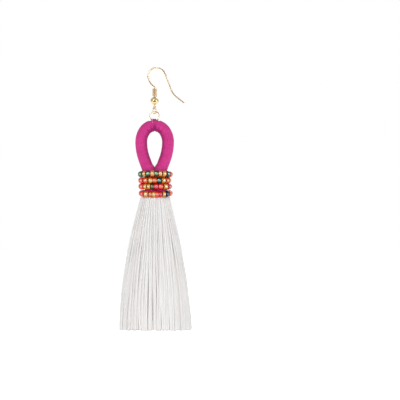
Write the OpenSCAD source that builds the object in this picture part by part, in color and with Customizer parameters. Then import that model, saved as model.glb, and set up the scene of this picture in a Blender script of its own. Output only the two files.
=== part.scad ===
// Tassel drop earring, millimetres, +Z up.
// The origin is where the ear carries the hook, at the underside of the arch's top.
// The hook lies in the XZ plane with its tail toward +X, and the drop's front faces -Y.

/* [Ear wire] */
// Diameter of the hook's wire
wire_d = 0.75; // [0.6:0.05:0.9]
// Radius of the arch, to the middle of the wire
arch_r = 3.25; // [2.9:0.05:4.2]
// Turn of the arch from its top down to the throat, in degrees
arch_front = 89; // [80:1:95]
// Radius of the flatter bend that brings the wire back over the drop
throat_r = 4.4; // [4:0.1:5.5]
// Turn of that bend, in degrees
throat_turn = 56; // [50:1:60]
// Straight run between the throat and the crook
crook_run = 0.35; // [0.2:0.05:1]
// Radius of the crook above the coil
crook_r = 0.7; // [0.6:0.05:1.2]
// Turn of the arch from its top down to the tail, in degrees
arch_back = 68.5; // [60:0.5:75]
// Length of the straight tail
tail_len = 7; // [5:0.1:10]
// Radius of the flick near the tail's end
flick_r = 5.6; // [4:0.1:8]
// Turn of the flick, in degrees
flick_turn = 30; // [15:1:40]
// Length of the straight end
tip_len = 3.9; // [3:0.1:6]

/* [Coil and ball] */
// Diameter of the coil's fine wire
coil_wire = 0.4; // [0.3:0.02:0.5]
// Number of turns in the coil
coil_turns = 7; // [5:1:12]
// Diameter of the ball
ball_d = 3.1; // [2.5:0.1:4]
// Clearance of the coil and the ball on the shank
bore_gap = 0.1; // [0.05:0.01:0.2]
// Space left between the coil, the ball and the bends beside them
stack_gap = 0.05; // [0.03:0.01:0.15]

/* [Eye] */
// Radius of the eye's round end, to the middle of the wire
eye_r = 1.05; // [0.9:0.05:1.4]
// Lean of each side of the eye from the upright, in degrees
eye_spread = 34; // [28:1:38]
// Radius of the bend under the ball
neck_r = 0.8; // [0.6:0.05:1]
// Turn of the eye's plane from the hook's plane, in degrees
eye_turn = 62; // [55:1:90]
// Slit left where the eye's end meets the shank
eye_slit = 0.06; // [0.04:0.01:0.15]

/* [Jump ring] */
// Diameter of the ring's wire
ring_wire = 0.65; // [0.5:0.05:0.8]
// Radius of the ring, to the middle of the wire
ring_r = 1.75; // [1.7:0.05:2.2]
// Clearance between the ring and what it runs through
ring_gap = 0.13; // [0.12:0.01:0.15]

/* [Wrapped loop] */
// Diameter of the wrapped cord
cord_d = 4.55; // [4.2:0.05:4.8]
// Radius of the loop's top, to the middle of the cord
top_r = 4.6; // [4:0.1:5.5]
// Turn of the top bend on each side, in degrees
top_turn = 56; // [50:1:62]
// Radius of the shoulders below it
shoulder_r = 7.45; // [6.5:0.05:8.5]
// Radius of the long sides
side_r = 19; // [16:0.5:24]
// Turn of the long sides, in degrees
side_turn = 20.5; // [18:0.5:23]
// Radius of the bend where the sides gather into the legs
gather_r = 5.5; // [4:0.5:8]
// Diameter of each leg under the beads, where the wrap is pulled tight
leg_d = 3.9; // [3.6:0.05:4.1]
// Gap between the two legs
leg_gap = 0.08; // [0.06:0.01:0.12]
// Lean of the legs toward the tail's side, in degrees
neck_lean = 2; // [0:0.5:3]
// Depth of the middle of the ring's wire under the top of the cord
seat_depth = 0.35; // [0.3:0.01:0.45]
// Largest swing of the ring in its seat to the front and back, in degrees
seat_swing = 62; // [50:1:65]
// Width of the tie of threads over the ring
tie_w = 0.6; // [0.4:0.05:0.8]
// Thickness of that tie
tie_t = 0.2; // [0.15:0.01:0.3]
// Turn of that tie from its top down into the cord, in degrees
tie_turn = 145; // [140:1:150]

/* [Beads] */
// Diameter of a seed bead
bead_d = 2.25; // [2:0.05:2.4]
// Clearance between the string of beads and the legs
string_gap = 0.1; // [0.1:0.01:0.15]

/* [Tassel] */
// Length of the tassel below the beads
tassel_len = 50.4; // [40:0.2:60]
// Width of the tassel at its head
head_w = 11.3; // [10:0.1:12]
// Depth of the tassel at its head, from front to back
head_depth = 7; // [6:0.1:9]
// Width of the tassel at its cut end
hem_w = 27.4; // [22:0.2:32]
// Depth of the tassel at its cut end, from front to back
hem_depth = 16.4; // [12:0.2:24]
// Number of locks round the tassel
lock_count = 34; // [24:2:40]
// Depth of the grooves between the locks at the cut end
lock_groove = 0.55; // [0.3:0.05:1]
// Difference in length between the locks
hem_ragged = 0.6; // [0:0.1:1.5]

/* [Hidden] */

// Columns of a table of bends, which holds the straight run, the bend after it and the diameter after the run
RUN = 0;
BEND_R = 1;
TURN = 2;
END_D = 3;

// Sides of round wires and cords, and of a whole turn of a bend
wire_sides = 48;
turn_sides = 96;

// Size of a knuckle, and of the wire's rounded end, as shares of the wire or cord
knuckle_share = 1.01;
end_share = 0.98;

// Rise of the coil in one turn, as a share of its wire
coil_rise_share = 1.03;

// Bends from the arch's top to the shank, and from the arch's top to the tail's end
crook_turn = arch_front + throat_turn - 90;
front_bends = [
    [0, arch_r, arch_front, wire_d],
    [0, throat_r, throat_turn, wire_d],
    [crook_run, crook_r, -crook_turn, wire_d],
];
back_bends = [
    [0, arch_r, -arch_back, wire_d],
    [tail_len, flick_r, flick_turn, wire_d],
    [tip_len, 0, 0, wire_d],
];

// Point and heading [x, z, degrees] at the end of a table's row, on the way from a start
function after_run(at, run) = [at[0] + run * cos(at[2]), at[1] + run * sin(at[2]), at[2]];
function after_bend(at, r, turn) =
    let (side = sign(turn))
    [at[0] - side * r * (sin(at[2]) - sin(at[2] + turn)),
     at[1] + side * r * (cos(at[2]) - cos(at[2] + turn)),
     at[2] + turn];
function path_end(bends, at, row = 0) =
    row == len(bends) ? at :
    path_end(bends, after_bend(after_run(at, bends[row][RUN]), bends[row][BEND_R], bends[row][TURN]), row + 1);

// Heights down the drop, and the place of its upright axis
arch_z = wire_d / 2;
shank_top = path_end(front_bends, [0, arch_z, 180]);
drop_x = shank_top[0];
coil_r = wire_d / 2 + bore_gap + coil_wire / 2;
coil_pitch = coil_wire * coil_rise_share;
coil_top_z = shank_top[1] - stack_gap - coil_wire / 2;
coil_end_z = coil_top_z - coil_turns * coil_pitch;
ball_z = coil_end_z - coil_wire / 2 - stack_gap - ball_d / 2;
neck_z = ball_z - ball_d / 2 - stack_gap;

// The eye in its own plane: one side leans out, the round end follows, and the other side comes back
eye_side = (eye_r * cos(eye_spread) - neck_r * (1 - cos(eye_spread))) / sin(eye_spread);
eye_back = (eye_r * cos(eye_spread)) / sin(eye_spread);
eye_bends = [
    [0, neck_r, -eye_spread, wire_d],
    [eye_side, eye_r, 180 + 2 * eye_spread, wire_d],
];
eye_end = path_end(eye_bends, [0, neck_z, 270]);
eye_low_z = eye_end[1] - eye_r * (1 + sin(eye_spread));

// The ring hangs on the eye, and the cord hangs on the ring
ring_top_z = eye_low_z + wire_d / 2 + ring_gap + ring_wire / 2;
ring_z = ring_top_z - ring_r;
seat_z = ring_z - ring_r;
loop_top_z = seat_z + seat_depth - cord_d / 2;

// Half of the loop from its top down: the sides narrow into the legs on the straight run
leg_x = leg_d / 2 + leg_gap / 2;
side_x = top_r * sin(top_turn) + shoulder_r * (1 - sin(top_turn)) - side_r * (1 - cos(side_turn));
taper_run = (side_x - leg_x - gather_r * (1 - cos(side_turn))) / sin(side_turn);
loop_bends = [
    [0, top_r, -top_turn, cord_d],
    [0, shoulder_r, top_turn - 90, cord_d],
    [0, side_r, -side_turn, cord_d],
    [taper_run, gather_r, side_turn, leg_d],
];
gather_end = path_end(loop_bends, [0, loop_top_z, 0]);

// Rows of beads: step down from the row above, rise of the middle over the ends in front,
// and slack on the -X side and the +X side, all as shares of a bead's diameter
STEP = 0;
BOW = 1;
LEFT_SLACK = 2;
RIGHT_SLACK = 3;
bead_rows = [
    [0, 0.16, 0.04, 0.3],
    [1.09, 0, 0, 0],
    [1.02, 0, 0, 0.05],
    [1.24, -0.19, 0, 0.13],
];
row_count = len(bead_rows);

// Height of the first row over the gather, and drop from the last row to the tassel's head, as shares of a bead
first_row_share = 0.24;
head_drop_share = 0.62;
first_row_z = gather_end[1] + first_row_share * bead_d;
function row_z(row) = row == 0 ? first_row_z : row_z(row - 1) - bead_rows[row][STEP] * bead_d;
head_z = row_z(row_count - 1) - head_drop_share * bead_d;
leg_len = (gather_end[1] - head_z - stack_gap - leg_d / 2 * sin(neck_lean)) / cos(neck_lean);

// Sideways place of the middle between the legs at a height under the gather
function neck_shift(z) = (gather_end[1] - z) * tan(neck_lean);

// The string goes round the two legs in half circles, level in front and stepping down behind
string_r = leg_d / 2 + string_gap + bead_d / 2;
half_steps = 12;
// Steps that the last half circle lacks, so that the string ends clear of the row above it
tail_steps = 10;
middle_cos = 0.001;
function string_point(row, half, step) =
    let (
        after = min(row + 1, row_count - 1),
        angle = 180 + 180 * half + 180 * step / half_steps,
        share = half == 0 ? 0 : step / half_steps,
        ease = share * share * (3 - 2 * share),
        side = cos(angle) > middle_cos ? RIGHT_SLACK : LEFT_SLACK,
        slack = (bead_rows[row][side] * (1 - ease) + bead_rows[after][side] * ease) * bead_d,
        bow = bead_rows[row][BOW] * bead_d * ((half == 0 ? sin(180 * step / half_steps) : 0) - 0.5),
        next_bow = -bead_rows[after][BOW] * bead_d / 2,
        z = row_z(row) * (1 - ease) + row_z(after) * ease + bow * (1 - ease) + next_bow * ease,
        leg = abs(cos(angle)) < middle_cos ? 0 : sign(cos(angle)) * leg_x
    )
    [leg + neck_shift(z) + (string_r + slack) * cos(angle), (string_r + slack) * sin(angle), z];
string_points = [
    for (row = [0:row_count - 1])
        for (half = [0:1])
            for (step = [0:half_steps - (row == row_count - 1 && half == 1 ? tail_steps : 1)])
                string_point(row, half, step)
];

// Spread of the tassel, from 0 at the head to 1 at the cut end
hem_levels = 12;
flare_power = 1.5;
function spread(share) = 1 - pow(1 - share, flare_power);

// Points round each lock, share of the grooves' depth at the head, and seed of the locks' random lengths
lock_points = 4;
head_groove = 0.3;
cut_seed = 7;

// A closed tube along a list of points that lie mostly level
module tube(points, d, sides) {
    last = len(points) - 1;
    rings = [
        for (i = [0:last])
            let (
                way = points[min(i + 1, last)] - points[max(i - 1, 0)],
                ahead = way / norm(way),
                out = cross(ahead, [0, 0, 1]) / norm(cross(ahead, [0, 0, 1])),
                up = cross(out, ahead)
            )
            for (s = [0:sides - 1])
                points[i] + d / 2 * (cos(360 * s / sides) * out + sin(360 * s / sides) * up)
    ];
    walls = [
        for (i = [0:last - 1])
            for (s = [0:sides - 1])
                [i * sides + s, i * sides + (s + 1) % sides,
                 (i + 1) * sides + (s + 1) % sides, (i + 1) * sides + s]
    ];
    start_cap = [for (s = [sides - 1:-1:0]) s];
    end_cap = [for (s = [0:sides - 1]) last * sides + s];
    polyhedron(points = rings, faces = concat(walls, [start_cap], [end_cap]));
}

// A bar along +X, tapering from one diameter to the other
module bar(length, d1, d2) {
    rotate([0, 90, 0])
        cylinder(d1 = d1, d2 = d2, h = length, $fn = wire_sides);
}

// A bend that starts at the origin along +X and turns in the XZ plane, upward where the turn is positive
module bend(r, turn, d) {
    side = sign(turn);
    translate([0, 0, side * r])
        rotate([90, 0, 0])
            rotate([0, 0, side > 0 ? -90 : 90 + turn])
                rotate_extrude(angle = abs(turn), $fn = turn_sides)
                    translate([r, 0])
                        circle(d = d, $fn = wire_sides);
}

// The top of an arch, turning down by one angle toward -X and another toward +X
module crown(r, front_turn, back_turn, top_z, d) {
    translate([0, 0, top_z - r])
        rotate([90, 0, 0])
            rotate([0, 0, 90 - back_turn])
                rotate_extrude(angle = front_turn + back_turn, $fn = turn_sides)
                    translate([r, 0])
                        circle(d = d, $fn = wire_sides);
}

// Wire or cord through a table of bends, starting at a point and heading [x, z, degrees],
// with a round knuckle over each joint
module bent(bends, at, d, row = 0) {
    if (row < len(bends)) {
        this = bends[row];
        corner = after_run(at, this[RUN]);
        if (row > 0)
            knuckle(at, d);
        if (this[RUN] > 0)
            translate([at[0], 0, at[1]])
                rotate([0, -at[2], 0])
                    bar(this[RUN], d, this[END_D]);
        if (this[RUN] > 0 && this[TURN] != 0)
            knuckle(corner, this[END_D]);
        if (this[TURN] != 0)
            translate([corner[0], 0, corner[1]])
                rotate([0, -at[2], 0])
                    bend(this[BEND_R], this[TURN], this[END_D]);
        bent(bends, after_bend(corner, this[BEND_R], this[TURN]), this[END_D], row + 1);
    }
}

// A knuckle just stouter than the wire or cord that it joins
module knuckle(at, d) {
    translate([at[0], 0, at[1]])
        sphere(d = d * knuckle_share, $fn = wire_sides);
}

// The eye, with its end cut to lie along the shank
module eye() {
    bent(eye_bends, [0, neck_z, 270], wire_d);
    knuckle(eye_end, wire_d);
    difference() {
        translate([eye_end[0], 0, eye_end[1]])
            rotate([0, -eye_end[2], 0])
                bar(eye_back, wire_d, wire_d);
        translate([wire_d / 2 + eye_slit - 3 * wire_d, -wire_d, eye_end[1]])
            cube([3 * wire_d, 2 * wire_d, 2 * eye_back]);
    }
}

module ear_hook() {
    tip = path_end(back_bends, [0, arch_z, 0]);
    color("goldenrod") {
        crown(arch_r, arch_front, arch_back, arch_z, wire_d);
        bent(front_bends, after_bend([0, arch_z, 180], arch_r, arch_front), wire_d, 1);
        bent(back_bends, after_bend([0, arch_z, 0], arch_r, -arch_back), wire_d, 1);
        translate([tip[0], 0, tip[1]])
            sphere(d = wire_d * end_share, $fn = wire_sides);
        knuckle(shank_top, wire_d);
        translate([drop_x, 0, neck_z])
            cylinder(d = wire_d, h = shank_top[1] - neck_z, $fn = wire_sides);
        knuckle([drop_x, neck_z], wire_d);
        translate([drop_x, 0, 0])
            rotate([0, 0, eye_turn])
                eye();
    }
}

module hook_coil() {
    steps = 14;
    sides = 6;
    color("gold")
        tube([for (i = [0:coil_turns * steps])
                 [drop_x + coil_r * cos(360 * i / steps),
                  coil_r * sin(360 * i / steps),
                  coil_end_z + coil_pitch * i / steps]],
             coil_wire, sides);
}

module hook_ball() {
    color("gold")
        translate([drop_x, 0, ball_z])
            difference() {
                sphere(d = ball_d, $fn = turn_sides);
                cylinder(d = wire_d + 2 * bore_gap, h = 2 * ball_d, center = true, $fn = wire_sides);
            }
}

module jump_ring() {
    color("goldenrod")
        translate([drop_x, 0, ring_z])
            rotate([90, 0, 0])
                rotate_extrude($fn = turn_sides)
                    translate([ring_r, 0])
                        circle(d = ring_wire, $fn = wire_sides);
}

// Room for the ring in the cord as it swings to the front and back about its lowest point
module ring_room() {
    sides = 12;
    room_r = (ring_wire / 2 + ring_gap) / cos(180 / sides);
    rotate([90, 0, 90])
        linear_extrude(2 * ring_r, center = true)
            hull() {
                circle(r = room_r, $fn = sides);
                for (swing = [-seat_swing, seat_swing])
                    translate(ring_r * [sin(swing), cos(swing)])
                        circle(r = room_r, $fn = sides);
            }
}

// Tie of threads that goes over the ring and down into the cord
module ring_tie() {
    inner = ring_r - sqrt(pow(ring_r - ring_wire / 2, 2) - pow(tie_w / 2, 2)) + ring_gap;
    rotate([0, 90, 0])
        rotate([0, 0, 180 - tie_turn])
            rotate_extrude(angle = 2 * tie_turn, $fn = turn_sides)
                translate([inner, -tie_w / 2])
                    square([tie_t, tie_w]);
}

module wrapped_loop() {
    color("mediumvioletred")
        translate([drop_x, 0, 0]) {
            difference() {
                union() {
                    crown(top_r, top_turn, top_turn, loop_top_z, cord_d);
                    for (side = [0, 1])
                        mirror([side, 0, 0]) {
                            bent(loop_bends, after_bend([0, loop_top_z, 0], top_r, -top_turn), cord_d, 1);
                            knuckle(gather_end, leg_d);
                        }
                    for (side = [-1, 1])
                        translate([side * leg_x, 0, gather_end[1]])
                            rotate([0, 180 - neck_lean, 0])
                                cylinder(d = leg_d, h = leg_len, $fn = wire_sides);
                }
                translate([0, 0, seat_z])
                    ring_room();
            }
            translate([0, 0, seat_z])
                ring_tie();
        }
}

module bead_string() {
    sides = 8;
    color("darkorange")
        translate([drop_x, 0, 0])
            tube(string_points, bead_d, sides);
}

module tassel() {
    around = lock_points * lock_count;
    cut = rands(0, hem_ragged, lock_count, cut_seed);
    function groove(a, share) =
        lock_groove * (head_groove + (1 - head_groove) * share) * (1 - cos(360 * a / lock_points)) / 2;
    rings = [
        for (level = [0:hem_levels])
            for (a = [0:around - 1])
                let (
                    share = level / hem_levels,
                    half_w = (head_w + (hem_w - head_w) * spread(share)) / 2 - groove(a, share),
                    half_d = (head_depth + (hem_depth - head_depth) * spread(share)) / 2 - groove(a, share),
                    lock = floor(((a + lock_points / 2) % around) / lock_points),
                    short = share * (cut[lock] + groove(a, share))
                )
                [half_w * cos(360 * a / around), half_d * sin(360 * a / around), -tassel_len * share + short]
    ];
    walls = [
        for (level = [0:hem_levels - 1])
            for (a = [0:around - 1])
                [level * around + a, level * around + (a + 1) % around,
                 (level + 1) * around + (a + 1) % around, (level + 1) * around + a]
    ];
    top = len(rings);
    caps = [
        for (a = [0:around - 1])
            [top, (a + 1) % around, a],
        for (a = [0:around - 1])
            [top + 1, hem_levels * around + a, hem_levels * around + (a + 1) % around]
    ];
    color("whitesmoke")
        translate([drop_x + neck_shift(head_z), 0, head_z])
            polyhedron(points = concat(rings, [[0, 0, 0], [0, 0, hem_ragged - tassel_len]]),
                       faces = concat(walls, caps));
}

ear_hook();
hook_coil();
hook_ball();
jump_ring();
wrapped_loop();
bead_string();
tassel();
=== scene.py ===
import math
import random

import bpy
import numpy as np
from mathutils import Matrix, Vector


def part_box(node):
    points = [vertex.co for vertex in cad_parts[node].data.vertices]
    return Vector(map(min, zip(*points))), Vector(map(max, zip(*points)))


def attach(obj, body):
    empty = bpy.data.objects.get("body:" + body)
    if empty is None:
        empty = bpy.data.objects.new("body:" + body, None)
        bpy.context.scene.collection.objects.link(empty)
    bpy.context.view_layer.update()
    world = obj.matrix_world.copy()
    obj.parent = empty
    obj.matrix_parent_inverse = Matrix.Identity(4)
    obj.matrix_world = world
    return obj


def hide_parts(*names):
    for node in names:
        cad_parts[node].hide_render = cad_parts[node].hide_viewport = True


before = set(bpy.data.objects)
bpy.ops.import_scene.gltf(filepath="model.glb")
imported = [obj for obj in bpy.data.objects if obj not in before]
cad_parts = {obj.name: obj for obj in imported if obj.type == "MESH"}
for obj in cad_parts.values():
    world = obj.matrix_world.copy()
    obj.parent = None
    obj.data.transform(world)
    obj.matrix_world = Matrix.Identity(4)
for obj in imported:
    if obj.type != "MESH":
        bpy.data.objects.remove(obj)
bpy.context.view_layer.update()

mm = 0.001
dice = random.Random(11)

# Where the photograph shows the part: its pixels, its scale and the pixel of the origin
photo = {"pixels": 400, "pixelSize": 0.38 * mm, "originX": 156.7, "originY": 68.87}

ringLow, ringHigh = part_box("jump_ring")
dropX = (ringLow.x + ringHigh.x) / 2        # the upright axis of the drop
ringWire = ringHigh.y - ringLow.y
seatZ = ringLow.z + ringWire / 2            # middle of the ring's wire where the loop hangs
tasselLow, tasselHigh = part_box("tassel")
headZ = tasselHigh.z
plainTone = 0.5                             # tone of a thread that is given none


def arc(start, heading, radius, turn, step=0.1 * mm):
    # points of a bend in the XZ plane as [x, z, heading in radians], to the right where turn is negative
    side = math.copysign(1, turn)
    count = max(2, int(abs(turn) * radius / step))
    points = []
    for i in range(1, count + 1):
        now = heading + turn * i / count
        x = start[0] - side * radius * (math.sin(heading) - math.sin(now))
        z = start[1] + side * radius * (math.cos(heading) - math.cos(now))
        points.append((x, z, now))
    return points


def smooth(t):
    t = min(1, max(0, t))
    return t * t * (3 - 2 * t)


def runLengths(steps):
    # how far each point lies along its route, from the lengths of the steps between them
    return np.concatenate([[0], np.cumsum(steps)])


def makePiece(name, verts, faces, materials, uvs=None, tones=None, faceMaterials=None):
    # one mesh object from lists, with its UV map and its tone from thread to thread
    mesh = bpy.data.meshes.new(name)
    mesh.from_pydata([tuple(v) for v in verts], [], faces)
    mesh.polygons.foreach_set("use_smooth", [True] * len(mesh.polygons))
    for material in materials:
        mesh.materials.append(material)
    if uvs is not None:
        layer = mesh.uv_layers.new(name="along")
        layer.data.foreach_set("uv", np.array(uvs, np.float32).ravel())
    if tones is not None:
        mesh.attributes.new("tone", "FLOAT", "POINT").data.foreach_set("value", np.array(tones, np.float32))
    if faceMaterials is not None:
        mesh.polygons.foreach_set("material_index", faceMaterials)
    mesh.update()
    piece = bpy.data.objects.new(name, mesh)
    bpy.context.scene.collection.objects.link(piece)
    return piece


def tubeFaces(base, along, sides):
    # faces and UVs of a closed tube whose rings start at index base, with their places along it in mm
    faces, uvs = [], []
    last = len(along) - 1
    for i in range(last):
        ring, nextRing = base + i * sides, base + (i + 1) * sides
        for s in range(sides):
            t = (s + 1) % sides
            faces.append((ring + s, ring + t, nextRing + t, nextRing + s))
            uvs += [(along[i], s / sides), (along[i], (s + 1) / sides),
                    (along[i + 1], (s + 1) / sides), (along[i + 1], s / sides)]
    for i, order in ((0, range(sides - 1, -1, -1)), (last, range(sides))):
        faces.append(tuple(base + i * sides + s for s in order))
        uvs += [(along[i], s / sides) for s in order]
    return faces, uvs


def threadTubes(name, routes, radius, sides, material, tones=None):
    # round threads along routes, in one piece
    verts, faces, uvs, toneList = [], [], [], []
    for r, route in enumerate(routes):
        points = [Vector(p) for p in route]
        base, last = len(verts), len(points) - 1
        across = (points[1] - points[0]).normalized().orthogonal()
        for i, point in enumerate(points):
            ahead = (points[min(i + 1, last)] - points[max(i - 1, 0)]).normalized()
            across = (across - ahead * across.dot(ahead)).normalized()
            up = ahead.cross(across)
            for s in range(sides):
                a = math.tau * s / sides
                verts.append(point + radius * (math.cos(a) * across + math.sin(a) * up))
        toneList += [tones[r] if tones else plainTone] * (sides * len(points))
        along = runLengths([(b - a).length for a, b in zip(points, points[1:])]) / mm
        newFaces, newUvs = tubeFaces(base, along, sides)
        faces += newFaces
        uvs += newUvs
    return makePiece(name, verts, faces, [material], uvs, toneList)


def newMaterial(name, color, **sockets):
    material = bpy.data.materials.new(name)
    material.use_nodes = True
    shader = material.node_tree.nodes["Principled BSDF"]
    shader.inputs["Base Color"].default_value = (*color, 1)
    for socket, value in sockets.items():
        shader.inputs[socket.replace("_", " ")].default_value = value
    return material, material.node_tree, shader


def addNode(tree, kind, inputs=None, **settings):
    node = tree.nodes.new(kind)
    for key, value in settings.items():
        setattr(node, key, value)
    for key, value in (inputs or {}).items():
        if isinstance(value, bpy.types.NodeSocket):
            tree.links.new(value, node.inputs[key])
        else:
            node.inputs[key].default_value = value
    return node


def addMath(tree, operation, *values, clamp=False):
    node = addNode(tree, "ShaderNodeMath", dict(enumerate(values)), operation=operation, use_clamp=clamp)
    return node.outputs[0]


def addNoise(tree, place, scale, detail, roughness=0.5):
    inputs = {"Vector": place, "Scale": scale, "Detail": detail, "Roughness": roughness}
    return addNode(tree, "ShaderNodeTexNoise", inputs).outputs["Fac"]


def addRange(tree, value, low, high, fromLow=0, fromHigh=1):
    inputs = {"Value": value, "From Min": fromLow, "From Max": fromHigh, "To Min": low, "To Max": high}
    return addNode(tree, "ShaderNodeMapRange", inputs).outputs["Result"]


def addBump(tree, shader, height, strength, distance):
    bump = addNode(tree, "ShaderNodeBump", {"Height": height, "Strength": strength, "Distance": distance})
    tree.links.new(bump.outputs["Normal"], shader.inputs["Normal"])


def mixColors(tree, factor, first, second):
    mix = addNode(tree, "ShaderNodeMix", data_type="RGBA")
    for key, value in ((0, factor), (6, first), (7, second)):
        if isinstance(value, bpy.types.NodeSocket):
            tree.links.new(value, mix.inputs[key])
        else:
            mix.inputs[key].default_value = (*value, 1) if key else value
    return mix.outputs[2]


def plating(name, light, deep, roughness, scratch):
    # plated wire: tarnish in soft patches and fine drawing marks
    material, tree, shader = newMaterial(name, light, Metallic=1.0)
    place = addNode(tree, "ShaderNodeTexCoord").outputs["Object"]
    patches = addNoise(tree, place, scale=420, detail=3)
    tree.links.new(mixColors(tree, patches, light, deep), shader.inputs["Base Color"])
    marks = addNoise(tree, place, scale=5200, detail=4, roughness=0.7)
    rough = addRange(tree, marks, low=0.6 * roughness, high=1.5 * roughness)
    tree.links.new(rough, shader.inputs["Roughness"])
    addBump(tree, shader, marks, strength=scratch, distance=0.003 * mm)
    return material


# A thread's colour: patches deepen it, painted light on the ridges of its plies and a plain share lighten it;
# fuzz is its share of the relief
threadLook = {"patches": 0.55, "ridgePaintedLight": 0.18, "plain": 0.12, "fuzz": 0.5}


def twistedThread(name, light, deep, plies, lay, depth, sheen, streak):
    # thread whose plies turn round it once in each lay: UV x runs along it in mm, y goes round it once
    material, tree, shader = newMaterial(name, light, Roughness=0.72, Specular_IOR_Level=0.2,
                                         Sheen_Weight=sheen, Sheen_Roughness=0.4)
    uv = addNode(tree, "ShaderNodeUVMap", uv_map="along").outputs["UV"]
    parts = addNode(tree, "ShaderNodeSeparateXYZ", {"Vector": uv}).outputs
    along = addMath(tree, "MULTIPLY", parts["X"], math.tau / lay if lay else 0)
    phase = addMath(tree, "MULTIPLY_ADD", parts["Y"], math.tau * plies, along)
    ridge = addMath(tree, "MULTIPLY_ADD", addMath(tree, "SINE", phase), 0.5, 0.5)
    place = addNode(tree, "ShaderNodeTexCoord").outputs["Object"]
    fuzz = addNoise(tree, place, scale=9000, detail=3, roughness=0.65)
    height = addMath(tree, "MULTIPLY_ADD", fuzz, threadLook["fuzz"], ridge)
    addBump(tree, shader, height, strength=0.6, distance=depth)
    tone = addNode(tree, "ShaderNodeAttribute", attribute_name="tone").outputs["Fac"]
    streaks = addNode(tree, "ShaderNodeMapping", {"Vector": place, "Scale": streak}).outputs[0]
    patches = addNoise(tree, streaks, scale=1, detail=2)
    shade = addMath(tree, "MULTIPLY_ADD", patches, threadLook["patches"], tone)
    # painted light on the ridges of the plies, leaving the grooves between them painted deeper
    shade = addMath(tree, "MULTIPLY_ADD", ridge, -threadLook["ridgePaintedLight"], shade)
    shade = addMath(tree, "ADD", shade, -threadLook["plain"], clamp=True)
    tree.links.new(mixColors(tree, shade, light, deep), shader.inputs["Base Color"])
    return material


def beadGlass(name, light, deep, metal=0.0, transmission=0.0, cloud=0.3):
    # lined glass: light where the tone attribute carries the painted highlight stripe, which stands for the
    # lining seen through the wall and for its sheen, and deep elsewhere
    material, tree, shader = newMaterial(name, light, Roughness=0.08, IOR=1.52, Metallic=metal,
                                         Transmission_Weight=transmission)
    tone = addNode(tree, "ShaderNodeAttribute", attribute_name="tone").outputs["Fac"]
    place = addNode(tree, "ShaderNodeTexCoord").outputs["Object"]
    bloom = addNoise(tree, place, scale=1500, detail=2)
    lit = addMath(tree, "MULTIPLY_ADD", bloom, cloud, -cloud / 2)
    # the painted highlight, from the tone attribute with noise on its edge
    lining = addMath(tree, "ADD", lit, tone, clamp=True)
    tree.links.new(mixColors(tree, lining, deep, light), shader.inputs["Base Color"])
    return material


goldWire = plating("goldWire", (0.97, 0.84, 0.66), (0.88, 0.70, 0.50), roughness=0.2, scratch=0.25)
coilGold = plating("coilGold", (0.80, 0.60, 0.35), (0.66, 0.46, 0.24), roughness=0.34, scratch=0.25)
goldBall = plating("goldBall", (0.85, 0.65, 0.36), (0.78, 0.53, 0.25), roughness=0.08, scratch=0.10)
paleWire = plating("paleWire", (0.95, 0.86, 0.73), (0.89, 0.76, 0.61), roughness=0.2, scratch=0.25)
cordThread = {"plies": 3, "lay": 0.9, "depth": 0.05 * mm, "sheen": 0.12, "streak": (330, 330, 330)}
magentaThread = twistedThread("magentaThread", (0.635, 0.042, 0.255), (0.28, 0.004, 0.11), **cordThread)
# lighter, redder copies of the magenta thread, which paint the beads' coloured light on the cord behind the
# front beads
paintedGlowThread = twistedThread("paintedGlowThread", (1.0, 0.035, 0.24), (0.62, 0.006, 0.12), **cordThread)
paintedEmberThread = twistedThread("paintedEmberThread", (1.0, 0.10, 0.03), (0.62, 0.02, 0.012), **cordThread)
pinkThread = twistedThread("pinkThread", (0.88, 0.34, 0.58), (0.80, 0.22, 0.48),
                           plies=2, lay=0.7, depth=0.03 * mm, sheen=0.2, streak=(300, 300, 300))
whiteThread = twistedThread("whiteThread", (0.72, 0.712, 0.705), (0.665, 0.642, 0.632),
                            plies=3, lay=0, depth=0.02 * mm, sheen=0.15, streak=(500, 500, 30))
stringThread = twistedThread("stringThread", (0.55, 0.05, 0.06), (0.30, 0.02, 0.03),
                             plies=2, lay=0.5, depth=0.02 * mm, sheen=0.2, streak=(300, 300, 300))
liningSilver = newMaterial("liningSilver", (1.0, 0.93, 0.85), Metallic=0.3, Roughness=0.4)[0]
clearGlass = {"metal": 0.3, "transmission": 0.15}
irisGlass = {"metal": 0.5}
# each bead's finish: the colour under its painted highlight stripe, then its deep colour
beadFinishes = {
    "y": beadGlass("glassGold", (1.0, 0.98, 0.74), (0.60, 0.21, 0.018), **clearGlass),
    "o": beadGlass("glassOrange", (1.0, 0.72, 0.42), (0.62, 0.056, 0.003), **clearGlass),
    "p": beadGlass("glassPink", (1.0, 0.34, 0.38), (0.60, 0.004, 0.014), **clearGlass),
    "r": beadGlass("glassRose", (1.0, 0.54, 0.42), (0.68, 0.028, 0.016), **clearGlass),
    "g": beadGlass("irisGreen", (0.62, 0.98, 0.64), (0.014, 0.055, 0.014), **irisGlass),
    "t": beadGlass("irisTeal", (0.42, 0.76, 0.72), (0.008, 0.030, 0.034), **irisGlass),
    "b": beadGlass("irisBlue", (0.12, 0.27, 0.46), (0.004, 0.009, 0.028), **irisGlass),
    "v": beadGlass("irisOlive", (0.50, 0.52, 0.24), (0.045, 0.035, 0.006), **irisGlass),
}
print("materials ready")

for node, material in (("ear_hook", goldWire), ("hook_ball", goldBall), ("jump_ring", paleWire)):
    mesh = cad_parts[node].data
    mesh.materials.clear()
    mesh.materials.append(material)

# The coil of fine wire on the hook's shank
coil = {"turns": 7, "wireR": 0.2 * mm, "steps": 40, "sides": 14}
coilLow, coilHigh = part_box("hook_coil")


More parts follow.
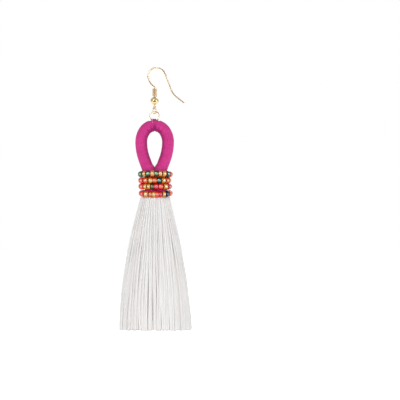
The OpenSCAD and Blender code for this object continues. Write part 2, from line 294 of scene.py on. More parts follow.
def coilPoint(turn):
    rise = (coilHigh.z - coilLow.z - 2 * coil["wireR"]) / coil["turns"]
    angle = math.tau * turn
    reach = (coilHigh.x - coilLow.x) / 2 - coil["wireR"]
    middle = (coilHigh.x + coilLow.x) / 2
    return middle + reach * math.cos(angle), reach * math.sin(angle), coilLow.z + coil["wireR"] + rise * turn


coilRoute = [coilPoint(i / coil["steps"]) for i in range(coil["turns"] * coil["steps"] + 1)]
hookCoil = threadTubes("coil_wire", [coilRoute], coil["wireR"], coil["sides"], coilGold)
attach(hookCoil, "hook")
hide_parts("hook_coil")
print("coil wound")

# The loop of cord, wound with thread from one leg's foot over the top to the other
loop = {
    "cordR": 2.275 * mm, "legR": 1.95 * mm, "legX": 1.99 * mm,
    "lean": math.tan(math.radians(2)), "seatDepth": 0.35 * mm, "footGap": 0.05 * mm,
    # the bends from the top down to the legs, with turns in degrees
    "topR": 4.6 * mm, "topTurn": 56,
    "shoulderR": 7.45 * mm,
    "sideR": 19 * mm, "sideTurn": 20.5,
    "gatherR": 5.5 * mm,
    "runSteps": 40, "legSteps": 60,
    # the winding: pitch, depth and roundness of its ridges, and points round the cord and across a turn
    "thread": 0.33 * mm, "ridge": 0.04 * mm, "ridgePower": 0.7, "uneven": 0.015 * mm,
    "around": 40, "across": 4,
    # room round the ring's wire, its tilt at the limit, and half the seat's width with its soft edge
    "ringRoom": 0.16 * mm, "ringTilt": math.radians(28), "seatHalf": 1.78 * mm, "seatEdge": 0.35 * mm,
    # pinches on the inside of the top bend, in mm: place along the cord from its top, depth and half width
    "creases": [(0.1, 0.2, 0.55), (-1.6, 0.06, 0.3), (2.0, 0.06, 0.3), (3.6, 0.04, 0.35), (-3.4, 0.035, 0.3)],
    "creaseAtSide": 0.35, "creaseInward": 0.9,
    # how the legs press on each other: depth, height over the gather and its soft edge
    "press": 0.34 * mm, "pressAt": 2.5 * mm, "pressEdge": 0.7 * mm,
    # half the slit between the legs, and how far along the cord from its top it starts
    "legSlit": 0.005 * mm, "slitFrom": 12 * mm,
    # what deepens the thread's colour: random spread from turn to turn, and painted shade on the loop's
    # inside, stronger on the inside of its top bend, and in the pinches
    "tone": 0.2, "toneSpread": 0.14, "insidePaintedShade": 0.5, "bendPaintedShade": 0.9, "bendPaintedShadeReach": 5 * mm,
    "creasePaintedShade": 9000,
    # what lightens it: painted light from the beads on the cord near them, and behind the front beads painted
    # light for the red light that comes through them
    "paintedBeadLight": 0.45, "paintedBeadLightReach": 6 * mm, "paintedGlow": 2, "paintedGlowEdge": 1 * mm, "paintedEmberDepth": 4.4 * mm,
}
loopTopZ = seatZ + loop["seatDepth"] - loop["cordR"]


def halfLoop():
    # from the top of the loop to the foot of its +X leg, as [x, z, heading, cord radius]
    points = [(0, loopTopZ, 0, loop["cordR"])]
    bends = [(loop["topR"], loop["topTurn"]), (loop["shoulderR"], 90 - loop["topTurn"]),
             (loop["sideR"], loop["sideTurn"])]
    for radius, degrees in bends:
        bend = arc(points[-1][:2], points[-1][2], radius, -math.radians(degrees))
        points += [(x, z, heading, loop["cordR"]) for x, z, heading in bend]
    x, z, heading, cordR = points[-1]
    turn = math.radians(loop["sideTurn"])
    run = (x - loop["legX"] - loop["gatherR"] * (1 - math.cos(turn))) / math.sin(turn)
    for i in range(1, loop["runSteps"] + 1):
        reach = run * i / loop["runSteps"]
        points.append((x + reach * math.cos(heading), z + reach * math.sin(heading), heading, cordR))
    gather = arc(points[-1][:2], points[-1][2], loop["gatherR"], turn)
    for i, (x, z, heading) in enumerate(gather):
        points.append((x, z, heading, cordR + (loop["legR"] - cordR) * smooth((i + 1) / len(gather))))
    gatherZ = points[-1][1]
    foot = headZ + loop["footGap"]
    for i in range(1, loop["legSteps"] + 1):
        z = gatherZ + (foot - gatherZ) * i / loop["legSteps"]
        points.append((loop["legX"], z, -math.pi / 2, loop["legR"]))
    return points, gatherZ


def cordRoute():
    half, gatherZ = halfLoop()
    left = [(-x, z, -heading, cordR) for x, z, heading, cordR in reversed(half)]
    whole = np.array(left[:-1] + half)
    whole[:, 0] += dropX + np.maximum(0, gatherZ - whole[:, 1]) * loop["lean"]
    return whole, runLengths(np.hypot(np.diff(whole[:, 0]), np.diff(whole[:, 1]))), gatherZ


def clearOfRing(point):
    # the wrap stays under the room that the ring needs as it swings in its seat
    room = ringWire / 2 + loop["ringRoom"]
    tilt = loop["ringTilt"]
    across = abs(point.y)
    floor = seatZ - room / math.cos(tilt) + across * math.tan(tilt)
    if across < room * math.sin(tilt):
        floor = min(floor, seatZ - math.sqrt(room ** 2 - across ** 2))
    if point.z > floor:
        inSeat = 1 - smooth((abs(point.x - dropX) - loop["seatHalf"]) / loop["seatEdge"])
        point.z += (floor - point.z) * inSeat
    return point


def creaseAt(along, angle):
    # depth of the pinches at a place on the inside of the top bend
    inside = smooth(loop["creaseAtSide"] - loop["creaseInward"] * math.cos(angle))
    pinches = [deep * math.exp(-((along / mm - place) / half) ** 2) for place, deep, half in loop["creases"]]
    return inside * sum(pinches) * mm


def woundCord():
    route, lengths, gatherZ = cordRoute()
    columns = (route[:, 0], route[:, 1], np.unwrap(route[:, 2]), route[:, 3])
    topAt = lengths[-1] / 2
    around, across = loop["around"], loop["across"]
    turns = int(lengths[-1] / loop["thread"]) - 1
    pitch = lengths[-1] / (turns + 1)
    tones = [dice.random() for _ in range(turns + 2)]
    swell = [dice.uniform(-1, 1) for _ in range(turns + 2)]
    verts, toneList = [], []
    for k in range(turns * around + around + 1):
        for q in range(across):
            if k >= turns * around + 1 and q:
                continue
            turn = k / around
            s = (turn + q / across) * pitch
            x, z, heading, cordR = (float(np.interp(s, lengths, column)) for column in columns)
            angle = math.tau * turn
            inside = smooth(-math.cos(angle))
            ridge = loop["ridge"] * (math.sin(math.pi * q / across) ** loop["ridgePower"] - 1)
            n = int(turn)
            uneven = loop["uneven"] * (swell[n] + (swell[min(n + 1, turns + 1)] - swell[n]) * (turn - n))
            crease = creaseAt(s - topAt, angle)
            # the legs are pressed together from just above where they meet
            meet = math.exp(-(max(0, z - gatherZ - loop["pressAt"]) / loop["pressEdge"]) ** 2) * inside
            r = cordR + ridge + uneven - crease + loop["press"] * meet
            inPlane = Vector((-math.sin(heading), 0, math.cos(heading)))
            point = Vector((x, 0, z)) + r * (math.cos(angle) * inPlane + math.sin(angle) * Vector((0, 1, 0)))
            if abs(s - topAt) > loop["slitFrom"]:
                middle = dropX + max(0, gatherZ - point.z) * loop["lean"]
                if s < topAt:
                    point.x = min(point.x, middle - loop["legSlit"])
                else:
                    point.x = max(point.x, middle + loop["legSlit"])
            verts.append(clearOfRing(point))
            # painted shade: deeper on the loop's inside, more so on the inside of the top bend, and in the
            # pinches
            bend = math.exp(-((s - topAt) / loop["bendPaintedShadeReach"]) ** 2)
            tone = loop["tone"] + loop["toneSpread"] * tones[min(n, turns)]
            tone += (loop["insidePaintedShade"] + loop["bendPaintedShade"] * bend) * inside ** 2
            tone += loop["creasePaintedShade"] * crease
            # painted light: lighter near the beads and below them, and lighter still behind the front beads
            tone -= loop["paintedBeadLight"] * smooth(1 - (z - gatherZ) / loop["paintedBeadLightReach"])
            inFront = smooth(0.5 - point.y / loop["paintedGlowEdge"])
            toneList.append(tone - loop["paintedGlow"] * smooth((gatherZ - z) / loop["paintedGlowEdge"]) * inFront)

    def index(k, q):
        if q == across:
            k, q = k + around, 0
        full = turns * around + 1
        return k * across + q if k < full else full * across + (k - full)

    def threadAt(point):
        # index of the thread's material: in front and below the gather, lighter and redder copies of the
        # thread paint the light that comes through the beads, orange near the gather and red further down
        below = gatherZ - point.z
        if below < 0 or point.y > 0:
            return 0
        return 2 if below < loop["paintedEmberDepth"] else 1

    faces, uvs, faceMaterials = [], [], []
    stretch = math.tau * loop["cordR"] / mm / around
    for k in range(turns * around):
        for q in range(across):
            faces.append((index(k, q), index(k, q + 1), index(k + 1, q + 1), index(k + 1, q)))
            faceMaterials.append(threadAt(verts[index(k, q)]))
            uvs += [(k * stretch, q / across), (k * stretch, (q + 1) / across),
                    ((k + 1) * stretch, (q + 1) / across), ((k + 1) * stretch, q / across)]
    threads = [magentaThread, paintedGlowThread, paintedEmberThread]
    return makePiece("wound_cord", verts, faces, threads, uvs, toneList, faceMaterials), gatherZ


def closeEnds(piece):
    bpy.ops.object.select_all(action="DESELECT")
    piece.select_set(True)
    bpy.context.view_layer.objects.active = piece
    bpy.ops.object.mode_set(mode="EDIT")
    bpy.ops.mesh.select_all(action="SELECT")
    bpy.ops.mesh.fill_holes(sides=0)
    bpy.ops.mesh.select_all(action="SELECT")
    bpy.ops.mesh.normals_make_consistent(inside=False)
    bpy.ops.object.mode_set(mode="OBJECT")
    piece.select_set(False)


cord, gatherZ = woundCord()
closeEnds(cord)
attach(cord, "drop")
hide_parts("wrapped_loop")
print("loop wound")

# The tie of threads over the ring
tie = {
    "threadR": 0.105 * mm, "spacing": 0.21 * mm, "gap": 0.14 * mm, "turn": 140, "steps": 40, "sides": 10,
    "tones": [0.9, 0.5, 0.7, 0.4, 0.8],     # one for each thread
    # the loose stitch beside the tie, as its places from the seat in mm
    "stitch": [
        (-0.66, 0.50, -0.75), (-0.68, 0.62, 0.10), (-0.70, 0.28, 0.66),
        (-0.72, -0.25, 0.66), (-0.74, -0.78, 0.20), (-0.76, -1.32, -0.22),
        (-0.76, -1.74, -0.66), (-0.74, -1.98, -1.05), (-0.70, -1.92, -1.30),
    ],
}
ringR = (ringHigh.x - ringLow.x - ringWire) / 2


def tieRoute(offset):
    # an arc round the ring's wire, wider where the ring curves up to the side
    rise = ringR - math.sqrt(ringR ** 2 - offset ** 2)
    reach = rise + ringWire / 2 + tie["gap"] + tie["threadR"]
    turns = [math.radians(-tie["turn"] + 2 * tie["turn"] * i / tie["steps"]) for i in range(tie["steps"] + 1)]
    return [(dropX + offset, reach * math.sin(a), seatZ + reach * math.cos(a)) for a in turns]


def softRoute(points, steps=8):
    # a smooth thread through a few points
    padded = [points[0], *points, points[-1]]
    route = []
    for i in range(len(points) - 1):
        before, start, end, after = padded[i:i + 4]
        for n in range(steps):
            t = n / steps
            bend = (2 * before - 5 * start + 4 * end - after) * t ** 2
            bend += (3 * start - before - 3 * end + after) * t ** 3
            route.append(0.5 * (2 * start + (end - before) * t + bend))
    return route + [points[-1]]


tieMiddle = (len(tie["tones"]) - 1) / 2
tieRoutes = [tieRoute((n - tieMiddle) * tie["spacing"]) for n in range(len(tie["tones"]))]
ringTie = threadTubes("ring_tie", tieRoutes, tie["threadR"], tie["sides"], magentaThread, tie["tones"])
stitchRoute = softRoute([Vector((dropX, 0, seatZ)) + Vector(p) * mm for p in tie["stitch"]])
stitch = threadTubes("pink_stitch", [stitchRoute], tie["threadR"], tie["sides"], pinkThread)
for piece in (ringTie, stitch):
    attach(piece, "drop")
print("tie made")

# The string of seed beads round the two legs
beads = {
    "diameter": 2.25 * mm, "length": 1.46 * mm, "holeR": 0.45 * mm, "gap": 0.03 * mm, "clearance": 0.1 * mm,
    "threadR": 0.2 * mm, "threadSides": 8, "sides": 16, "wallSides": 10, "turnSteps": 40,
    # height of the first row over the gather in beads, and what the last half turn lacks
    "firstRow": 0.24, "tail": 0.76,
    # step down, rise of the middle, slack at the left and at the right, as shares of a bead
    "rows": [(0, 0.16, 0.04, 0.3), (1.09, 0, 0, 0), (1.02, 0, 0, 0.05), (1.24, -0.19, 0, 0.13)],
    # each row in front, in mm: its start after the left end, and each bead's colour and length
    "front": [
        (0, "ggygygyytr", (1.4, 1.5, 1.25, 1.57, 1.58, 1.55, 1.35, 1.38, 1.6, 1.5)),
        (0, "rroyotyoo", (1.4, 1.5, 1.68, 1.5, 1.88, 1.55, 1.45, 1.5, 1.42)),
        (0, "rryyvpryp", (1.4, 1.5, 1.25, 1.2, 1.38, 1.75, 1.65, 1.72, 1.5)),
        (0.1, "rryoyrpybo", (1.4, 1.5, 1.55, 1.32, 1.42, 1.25, 1.2, 1.18, 1.25, 1.5)),
    ],
    "back": "royprgyoptyor", "iris": "gtbv",
    # a bead's shape: where its wall turns into the hole (-1 at the hole, 1 outside), how full its wall
    # and its ends are, and how far out the lining reaches
    "holeFrom": -0.5, "wallPower": 0.6, "endPower": 0.65, "liningShare": 0.4,
    # half turns to look ahead for the string's direction, and how beads differ: tilt on it, girth and the
    # strength of its painted highlight
    "lookAhead": 0.02, "tilt": 0.05, "girth": (1.02, 1.06), "paintedShine": (0.75, 1.15),
    # the painted highlight stripe along a bead, on its side that faces out from the legs: where it starts,
    # its soft edge, and how it ends short of the bead's ends
    "paintedHighlightFrom": 0.915, "paintedHighlightEdge": 0.07, "endFrom": 0.55, "endEdge": 0.4, "endDim": 0.9,
}


def rowZ(row):
    z = gatherZ + beads["firstRow"] * beads["diameter"]
    for stepDown, *_ in beads["rows"][1:row + 1]:
        z -= stepDown * beads["diameter"]
    return z


def stringPoint(turn):
    # turn counts half turns: even ones pass the front from left to right, odd ones come back behind
    # and step down to the next row
    half = int(turn)
    t = turn - half
    row = half // 2
    below = min(row + 1, len(beads["rows"]) - 1)
    ease = smooth(t) if half % 2 else 0
    toRight = 0.5 - 0.5 * math.cos(math.pi * (1 - t if half % 2 else t))

    def slackOf(row):
        _, _, left, right = beads["rows"][row]
        return (left + (right - left) * toRight) * beads["diameter"]

    slack = slackOf(row) * (1 - ease) + slackOf(below) * ease
    bow = beads["rows"][row][1] * beads["diameter"] * ((0 if half % 2 else math.sin(math.pi * t)) - 0.5)
    nextBow = -beads["rows"][below][1] * beads["diameter"] / 2
    z = (rowZ(row) + bow) * (1 - ease) + (rowZ(below) + nextBow) * ease
    reach = loop["legR"] + beads["clearance"] + beads["diameter"] / 2 + slack
    quarter, straight = math.pi / 2 * reach, 2 * loop["legX"]
    gone = t * (2 * quarter + straight)
    if gone < quarter:
        x, angle = -loop["legX"], math.pi + gone / reach
    elif gone < quarter + straight:
        x, angle = -loop["legX"] + gone - quarter, 1.5 * math.pi
    else:
        x, angle = loop["legX"], 1.5 * math.pi + (gone - quarter - straight) / reach
    side = -1 if half % 2 else 1
    across = side * (x + reach * math.cos(angle))
    return Vector((dropX + across + (gatherZ - z) * loop["lean"], side * reach * math.sin(angle), z))


def seedBead():
    # a ring of glass drawn out along its hole, whose wall is then made straight
    wall = (beads["diameter"] / 2 - beads["holeR"]) / 2
    bpy.ops.object.select_all(action="DESELECT")
    bpy.ops.mesh.primitive_torus_add(major_segments=beads["sides"], minor_segments=beads["wallSides"],
                                     major_radius=beads["holeR"] + wall, minor_radius=wall)
    bead = bpy.context.object
    bpy.ops.object.mode_set(mode="EDIT")
    bpy.ops.mesh.select_all(action="SELECT")
    bpy.ops.transform.resize(value=(1, 1, beads["length"] / (2 * wall)))
    bpy.ops.object.mode_set(mode="OBJECT")
    half = beads["length"] / 2
    for v in bead.data.vertices:
        reach = math.hypot(v.co.x, v.co.y)
        belly = (reach - beads["holeR"] - wall) / wall
        fuller = beads["holeR"]
        if belly >= beads["holeFrom"]:
            fuller += wall * (1 + math.copysign(abs(belly) ** beads["wallPower"], belly))
        v.co.x *= fuller / reach
        v.co.y *= fuller / reach
        v.co.z = math.copysign(half * abs(v.co.z / half) ** beads["endPower"], v.co.z)
    verts = [v.co.copy() for v in bead.data.vertices]
    faces = [tuple(f.vertices) for f in bead.data.polygons]
    holeWall = beads["holeR"] + beads["liningShare"] * wall
    kinds = ["lining" if all(math.hypot(*verts[i].xy) < holeWall for i in face) else "wall" for face in faces]
    bpy.data.objects.remove(bead)
    return verts, faces, kinds


def fillBack(beadList, end):
    # beads round the back, from the last one to the next row's first
    at = beadList[-1][0] + beadList[-1][1] / 2
    count = round((end - at) / (beads["length"] + beads["gap"]))
    step = (end - at) / count
    for n in range(count):
        letter = beads["back"][len(beadList) % len(beads["back"])]
        beadList.append((at + (n + 0.5) * step, step, letter))


def beadOrder(rowStarts, end):
    # the beads in turn, as [middle along the string, length, colour]
    beadList = []
    for rowStart, (start, letterRow, sizes) in zip(rowStarts, beads["front"]):
        at = rowStart + start * mm
        if beadList:
            fillBack(beadList, at)
        for letter, size in zip(letterRow, sizes):
            beadList.append((at + size * mm / 2, size * mm, letter))
            at += size * mm
    fillBack(beadList, end)
    return beadList


def stringBeads():
    lastTurn = 2 * len(beads["rows"]) - beads["tail"]
    steps = int(lastTurn * beads["turnSteps"])
    turns = [lastTurn * i / steps for i in range(steps + 1)]
    route = [stringPoint(turn) for turn in turns]
    lengths = runLengths([(b - a).length for a, b in zip(route, route[1:])])
    rowStarts = [float(np.interp(2 * row, turns, lengths)) for row in range(len(beads["rows"]))]
    beadList = beadOrder(rowStarts, float(lengths[-1]))
    oneVerts, oneFaces, kinds = seedBead()
    letters = list(beadFinishes)
    materials = [*beadFinishes.values(), liningSilver]
    verts, faces, faceMaterials, tones = [], [], [], []
    for middle, size, letter in beadList:
        turn = float(np.interp(middle, lengths, turns))
        here = stringPoint(turn)
        before = stringPoint(max(turn - beads["lookAhead"], 0))
        after = stringPoint(min(turn + beads["lookAhead"], lastTurn))
        tilt = Vector([dice.uniform(-beads["tilt"], beads["tilt"]) for _ in range(3)])
        ahead = ((after - before).normalized() + tilt).normalized()
        frameTurn = ahead.to_track_quat("Z", "Y").to_matrix().to_4x4()
        girth = dice.uniform(*beads["girth"])
        stretch = (size - beads["gap"]) / beads["length"]
        place = Matrix.Translation(here) @ frameTurn @ Matrix.Diagonal((girth, girth, stretch, 1))
        paintedShine = dice.uniform(*beads["paintedShine"])
        outward = Vector((ahead.y, -ahead.x, 0)).normalized()
        if outward.dot(here - Vector((dropX + (gatherZ - here.z) * loop["lean"], 0, here.z))) < 0:
            outward = -outward
        base = len(verts)
        for v in oneVerts:
            # painted highlight: a stripe on the side of the bead that faces out from the legs, dimmed toward
            # its ends
            facing = (frameTurn @ Vector((v.x, v.y, 0))).normalized().dot(outward)
            nearEnd = smooth((abs(v.z) * 2 / beads["length"] - beads["endFrom"]) / beads["endEdge"])
            paintedHighlight = smooth((facing - beads["paintedHighlightFrom"]) / beads["paintedHighlightEdge"])
            tones.append(paintedShine * paintedHighlight * (1 - beads["endDim"] * nearEnd))
            verts.append(place @ v)
        faces += [tuple(base + i for i in face) for face in oneFaces]
        glass = letters.index(letter)
        lining = glass if letter in beads["iris"] else len(letters)
        faceMaterials += [lining if kind == "lining" else glass for kind in kinds]
    beadPiece = makePiece("seed_beads", verts, faces, materials, None, tones, faceMaterials)
    thread = threadTubes("bead_thread", [route], beads["threadR"], beads["threadSides"], stringThread)
    return beadPiece, thread, len(beadList)


seedBeads, beadThread, beadCount = stringBeads()
for piece in (seedBeads, beadThread):
    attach(piece, "drop")
    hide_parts("bead_string")
print("beads strung:", beadCount)

# The tassel: yarns of three plies in layers round a core
tassel = {
    "layers": 4, "perLayer": 42, "steps": 112, "ovalSteps": 720,
    # half width and half depth at the head and at the hem, and how the skirt opens between them
    "headHalf": (5.65 * mm, 3.5 * mm), "hemHalf": (13.7 * mm, 8.2 * mm), "flare": 1.5,
    # a yarn: radius at the head and at the hem, share of it at its top end, plies, points a ply and twist
    "yarnR": (0.37 * mm, 0.46 * mm), "topGirth": 0.72, "plies": 3, "perPly": 3, "plyDepth": 0.08,
    "lay": 5.5 * mm, "yarnSize": (0.92, 1.06),
    # each layer's turn as a share of the yarns' spacing, and its rise over the head
    "layerTurn": (0, 0.5, 0.25, 0.75), "headRise": (0.2 * mm, 0.2 * mm, -0.05 * mm, -0.05 * mm),
    # depth of a layer at the head and of all at the hem, and a yarn's inset in its radii at both
    "layerDepth": 0.34 * mm, "hemDepth": 0.38 * mm, "insetShares": (1.1, 0.4), "blend": 1.1,
    # how the yarns leave their lines
    "placeSpread": 0.09, "headSpread": 0.12 * mm, "drift": 0.22, "cut": 0.7 * mm,
    "sway": 0.22 * mm, "swayShares": (0.3, 1), "bends": (5, 10), "loosen": 1.6,
    "outward": 0.16 * mm, "outwardPhase": 1.7, "outwardBends": 1.4, "leftSwell": 0.6 * mm, "swellPower": 0.7,
    "tonePower": 1.5,       # the higher, the fewer yarns are dark
}
headX = dropX + (gatherZ - headZ) * loop["lean"]
tasselLength = headZ - tasselLow.z


def tasselHalf(share):
    spread = 1 - (1 - share) ** tassel["flare"]
    return [head + (hem - head) * spread for head, hem in zip(tassel["headHalf"], tassel["hemHalf"])]


def evenTurns():
    # turns round the hem's oval that are evenly spaced along its edge
    turns = np.linspace(0, math.tau, tassel["ovalSteps"] + 1)
    halfW, halfD = tassel["hemHalf"]
    edge = runLengths(np.hypot(np.diff(halfW * np.cos(turns)), np.diff(halfD * np.sin(turns))))
    return lambda share: float(np.interp(share % 1, edge / edge[-1], turns)) + math.tau * math.floor(share)


def twistedYarns(name, yarns, radii):
    # each yarn's section has a lobe for each ply and turns as it goes, and its ends are blunt
    sides = tassel["plies"] * tassel["perPly"]
    verts, faces, uvs, tones = [], [], [], []
    for route, tone, start, size in yarns:
        base = len(verts)
        points = np.array(route)
        ahead = np.gradient(points, axis=0)
        ahead /= np.linalg.norm(ahead, axis=1)[:, None]
        right = np.cross(ahead, (0, 1, 0))
        right /= np.linalg.norm(right, axis=1)[:, None]
        up = np.cross(ahead, right)
        lengths = runLengths(np.linalg.norm(np.diff(points, axis=0), axis=1))
        girth = (radii[0] + (radii[1] - radii[0]) * lengths / lengths[-1]) * size
        girth[0] *= tassel["topGirth"]
        turn = start + math.tau * lengths / tassel["lay"]
        for i, point in enumerate(points):
            for s in range(sides):
                a = math.tau * s / sides
                r = girth[i] * (1 + tassel["plyDepth"] * math.sin(tassel["plies"] * a))
                verts.append(point + r * (math.cos(a + turn[i]) * right[i] + math.sin(a + turn[i]) * up[i]))
        tones += [tone] * (sides * len(points))
        newFaces, newUvs = tubeFaces(base, lengths / mm, sides)
        faces += newFaces
        uvs += newUvs
    return makePiece(name, verts, faces, [whiteThread], uvs, tones)


def tasselYarns():
    # the outer yarns in front and behind, each as [route, tone, start of its twist, size]
    front, back = [], []
    turnAt = evenTurns()
    for layer in range(tassel["layers"]):
        headRise = tassel["headRise"][layer]
        for n in range(tassel["perLayer"]):
            offset = tassel["layerTurn"][layer] + dice.uniform(-tassel["placeSpread"], tassel["placeSpread"])
            place = (n + offset) / tassel["perLayer"]
            drift = dice.uniform(-1, 1) * tassel["drift"] / tassel["perLayer"]
            headDepth = layer * tassel["layerDepth"] + dice.uniform(0, tassel["headSpread"])
            hemDepth = (layer + dice.uniform(0, 1)) / tassel["layers"] * tassel["hemDepth"]
            sway = dice.uniform(*tassel["swayShares"]) * tassel["sway"]
            phase = dice.uniform(0, math.tau)
            bends = dice.uniform(*tassel["bends"])
            size = dice.uniform(*tassel["yarnSize"])
            length = tasselLength + headRise - dice.uniform(0, 1) ** 2 * tassel["cut"]
            insetAtHead = headDepth + tassel["yarnR"][1] * tassel["insetShares"][0]
            insetAtHem = hemDepth + tassel["yarnR"][1] * tassel["insetShares"][1]
            route = []
            for i in range(tassel["steps"] + 1):
                share = i / tassel["steps"]
                halfW, halfD = tasselHalf(share)
                inset = insetAtHead + (insetAtHem - insetAtHead) * smooth(tassel["blend"] * share)
                loose = math.sin(math.pi * min(1, tassel["loosen"] * share) / 2)
                turn = turnAt(place + drift * share)
                wave = sway * loose * math.sin(phase + bends * share)
                slowPhase = tassel["outwardPhase"] * phase + tassel["outwardBends"] * bends * share
                inward = min(0, tassel["outward"] * loose * math.sin(slowPhase))
                swell = tassel["leftSwell"] * math.sin(math.pi * share ** tassel["swellPower"])
                x = headX - swell * max(0, -math.cos(turn))
                x += (halfW - inset + inward) * math.cos(turn) - wave * math.sin(turn)
                y = (halfD - inset + inward) * math.sin(turn) + wave * math.cos(turn)
                route.append((x, y, headZ + headRise - length * share))
            yarn = (route, dice.random() ** tassel["tonePower"], dice.uniform(0, math.tau), size)
            (front if math.sin(turnAt(place)) < 0 else back).append(yarn)
    return front, back


# The closed skirt inside the yarns, so that no light comes through
core = {"around": 72, "levels": 16, "inset": 1.4 * mm, "headInset": 0.75, "drop": 0.1 * mm, "length": 0.95}


def tasselCore():
    around, levels = core["around"], core["levels"]
    verts, faces = [], []
    for level in range(levels + 1):
        share = level / levels * core["length"]
        inset = core["inset"] * (core["headInset"] + (1 - core["headInset"]) * share)
        halfW, halfD = tasselHalf(share)
        z = headZ - core["drop"] - tasselLength * share
        for a in range(around):
            turn = math.tau * a / around
            verts.append((headX + (halfW - inset) * math.cos(turn), (halfD - inset) * math.sin(turn), z))
    for level in range(levels):
        ring, nextRing = level * around, (level + 1) * around
        for a in range(around):
            b = (a + 1) % around
            faces.append((ring + a, nextRing + a, nextRing + b, ring + b))
    faces.append(tuple(range(around)))
    faces.append(tuple(levels * around + a for a in reversed(range(around))))
    uvs = [(0.0, 0.0)] * sum(len(face) for face in faces)
    return makePiece("tassel_core", verts, faces, [whiteThread], uvs, [1.0] * len(verts))


# The cut ends of the inner yarns, which fill the tassel from below
ends = {
    "step": 0.86 * mm, "rowShare": 0.866, "spread": 0.13 * mm, "inset": 1.5 * mm,
    "rise": (0.1 * mm, 1.0 * mm), "size": (0.92, 1.04), "parts": 5, "partLength": 0.7 * mm,
    # a yarn starts nearer to the tassel's middle and comes out by a share for each part
    "topShare": 0.9, "partShare": 0.02,
}


def innerYarns():
    yarns = []
    halfW, halfD = tasselHalf(1)
    rows, columns = int(halfD / ends["step"]) + 1, int(halfW / ends["step"]) + 1
    for i in range(-columns, columns + 1):
        for j in range(-rows, rows + 1):
            x = (i + (j % 2) / 2) * ends["step"] + dice.uniform(-ends["spread"], ends["spread"])
            y = j * ends["step"] * ends["rowShare"] + dice.uniform(-ends["spread"], ends["spread"])
            if (x / (halfW - ends["inset"])) ** 2 + (y / (halfD - ends["inset"])) ** 2 > 1:
                continue
            foot = headZ - tasselLength + dice.uniform(*ends["rise"])
            route = []
            for k in range(ends["parts"] + 1):
                share = ends["topShare"] + ends["partShare"] * k
                route.append((headX + x * share, y * share, foot + (ends["parts"] - k) * ends["partLength"]))
            yarns.append((route, dice.random(), dice.uniform(0, math.tau), dice.uniform(*ends["size"])))
    return twistedYarns("tassel_ends", yarns, (tassel["yarnR"][1], tassel["yarnR"][1]))


frontYarns, backYarns = tasselYarns()
tasselPieces = [
    twistedYarns("tassel_front", frontYarns, tassel["yarnR"]),
    twistedYarns("tassel_back", backYarns, tassel["yarnR"]),
    tasselCore(),
    innerYarns(),
]
for piece in tasselPieces:
    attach(piece, "drop")
    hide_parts("tassel")
print("tassel made:", len(frontYarns) + len(backYarns), "yarns")

# Floor, light and camera
studio = {
    "floorZ": -0.14, "floorHalf": 3.0, "floorGlow": 0.6,
    # dark cards: place, size and tilt
    "cards": [((0.03, -0.92, 0.1), (1.2, 0.5), 90), ((0.03, -0.5, -0.138), (0.8, 0.6), 0)],
    # light from all round: in front, at the back, and what the top adds
    "frontLevel": 0.2, "backLevel": 0.46, "topLevel": 0.2,
    # softboxes turned to the part: place, size and power
    "aim": (0, 0, -0.05),
    "softboxes": {
        "keyLight": ((-0.5, -0.8, 0.35), 0.5, 3.1),
        "topLight": ((0.0, -0.75, 0.4), 0.16, 0.6),
        "fillLight": ((0.75, -0.6, 0.05), 0.6, 3.05),
        "backLight": ((0.2, 0.9, 0.4), 0.6, 2.5),
    },
    "lens": 200, "sensor": 36, "nearClip": 0.01, "farClip": 20,
}


def studioFloor():
    bpy.ops.object.select_all(action="DESELECT")
    bpy.ops.mesh.primitive_plane_add(size=2 * studio["floorHalf"], location=(0, 0, studio["floorZ"]))
    floor = bpy.context.object
    floor.name = "floor"
    material, _, shader = newMaterial("floorWhite", (0.9, 0.9, 0.9), Roughness=0.9,
                                         Emission_Strength=studio["floorGlow"])
    shader.inputs["Emission Color"].default_value = (1, 1, 1, 1)
    floor.data.materials.append(material)


def darkCards():
    # dark cards behind the camera and low in front, which bright metal shows and nothing else does
    material = newMaterial("cardBlack", (0.02, 0.02, 0.02), Roughness=0.9)[0]
    for place, size, tilt in studio["cards"]:
        bpy.ops.object.select_all(action="DESELECT")
        bpy.ops.mesh.primitive_plane_add(size=1, location=place, rotation=(math.radians(tilt), 0, 0))
        card = bpy.context.object
        card.name = "dark_card"
        card.scale = (*size, 1)
        card.data.materials.append(material)
        card.visible_camera = card.visible_diffuse = card.visible_shadow = card.visible_transmission = False


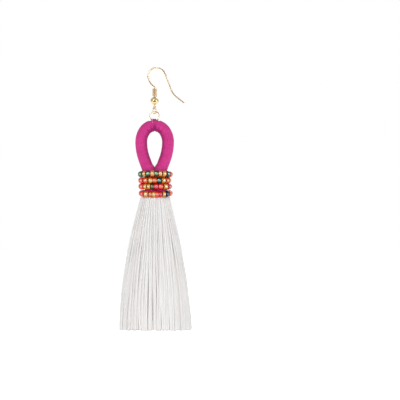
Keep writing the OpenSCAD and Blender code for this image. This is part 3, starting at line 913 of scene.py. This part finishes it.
def studioWorld():
    world = bpy.data.worlds.new("studio")
    bpy.context.scene.world = world
    world.use_nodes = True
    tree = world.node_tree
    shader = tree.nodes["Background"]
    shader.inputs["Color"].default_value = (1, 1, 1, 1)
    direction = addNode(tree, "ShaderNodeTexCoord").outputs["Generated"]
    parts = addNode(tree, "ShaderNodeSeparateXYZ", {"Vector": direction}).outputs
    # darker in front of the part, where the camera stands, so that bright metal shows its form
    toFront = addRange(tree, parts["Y"], studio["frontLevel"], studio["backLevel"], fromLow=-1, fromHigh=-0.2)
    toTop = addRange(tree, parts["Z"], 0, studio["topLevel"], fromLow=-0.1, fromHigh=0.7)
    level = addMath(tree, "ADD", toFront, toTop)
    isCamera = addNode(tree, "ShaderNodeLightPath").outputs["Is Camera Ray"]
    strength = addNode(tree, "ShaderNodeMix", {0: isCamera, 2: level, 3: 1.0})
    tree.links.new(strength.outputs[0], shader.inputs["Strength"])


def softbox(name, place, size, power):
    light = bpy.data.lights.new(name, "AREA")
    light.size = size
    light.energy = power
    lamp = bpy.data.objects.new(name, light)
    lamp.location = place
    lamp.rotation_euler = (Vector(studio["aim"]) - Vector(place)).to_track_quat("-Z", "Y").to_euler()
    bpy.context.scene.collection.objects.link(lamp)


def photoCamera():
    width = photo["pixels"] * photo["pixelSize"]
    x = (photo["pixels"] / 2 - photo["originX"]) * photo["pixelSize"]
    z = (photo["originY"] - photo["pixels"] / 2) * photo["pixelSize"]
    camera = bpy.data.cameras.new("camera")
    camera.lens, camera.sensor_width = studio["lens"], studio["sensor"]
    camera.clip_start, camera.clip_end = studio["nearClip"], studio["farClip"]
    eye = bpy.data.objects.new("camera", camera)
    eye.location = (x, -width * studio["lens"] / studio["sensor"], z)
    eye.rotation_euler = (math.pi / 2, 0, 0)
    bpy.context.scene.collection.objects.link(eye)
    bpy.context.scene.camera = eye


studioFloor()
darkCards()
studioWorld()
for name, (place, size, power) in studio["softboxes"].items():
    softbox(name, place, size, power)
photoCamera()
bpy.context.scene.view_settings.view_transform = "Standard"
print("studio ready")
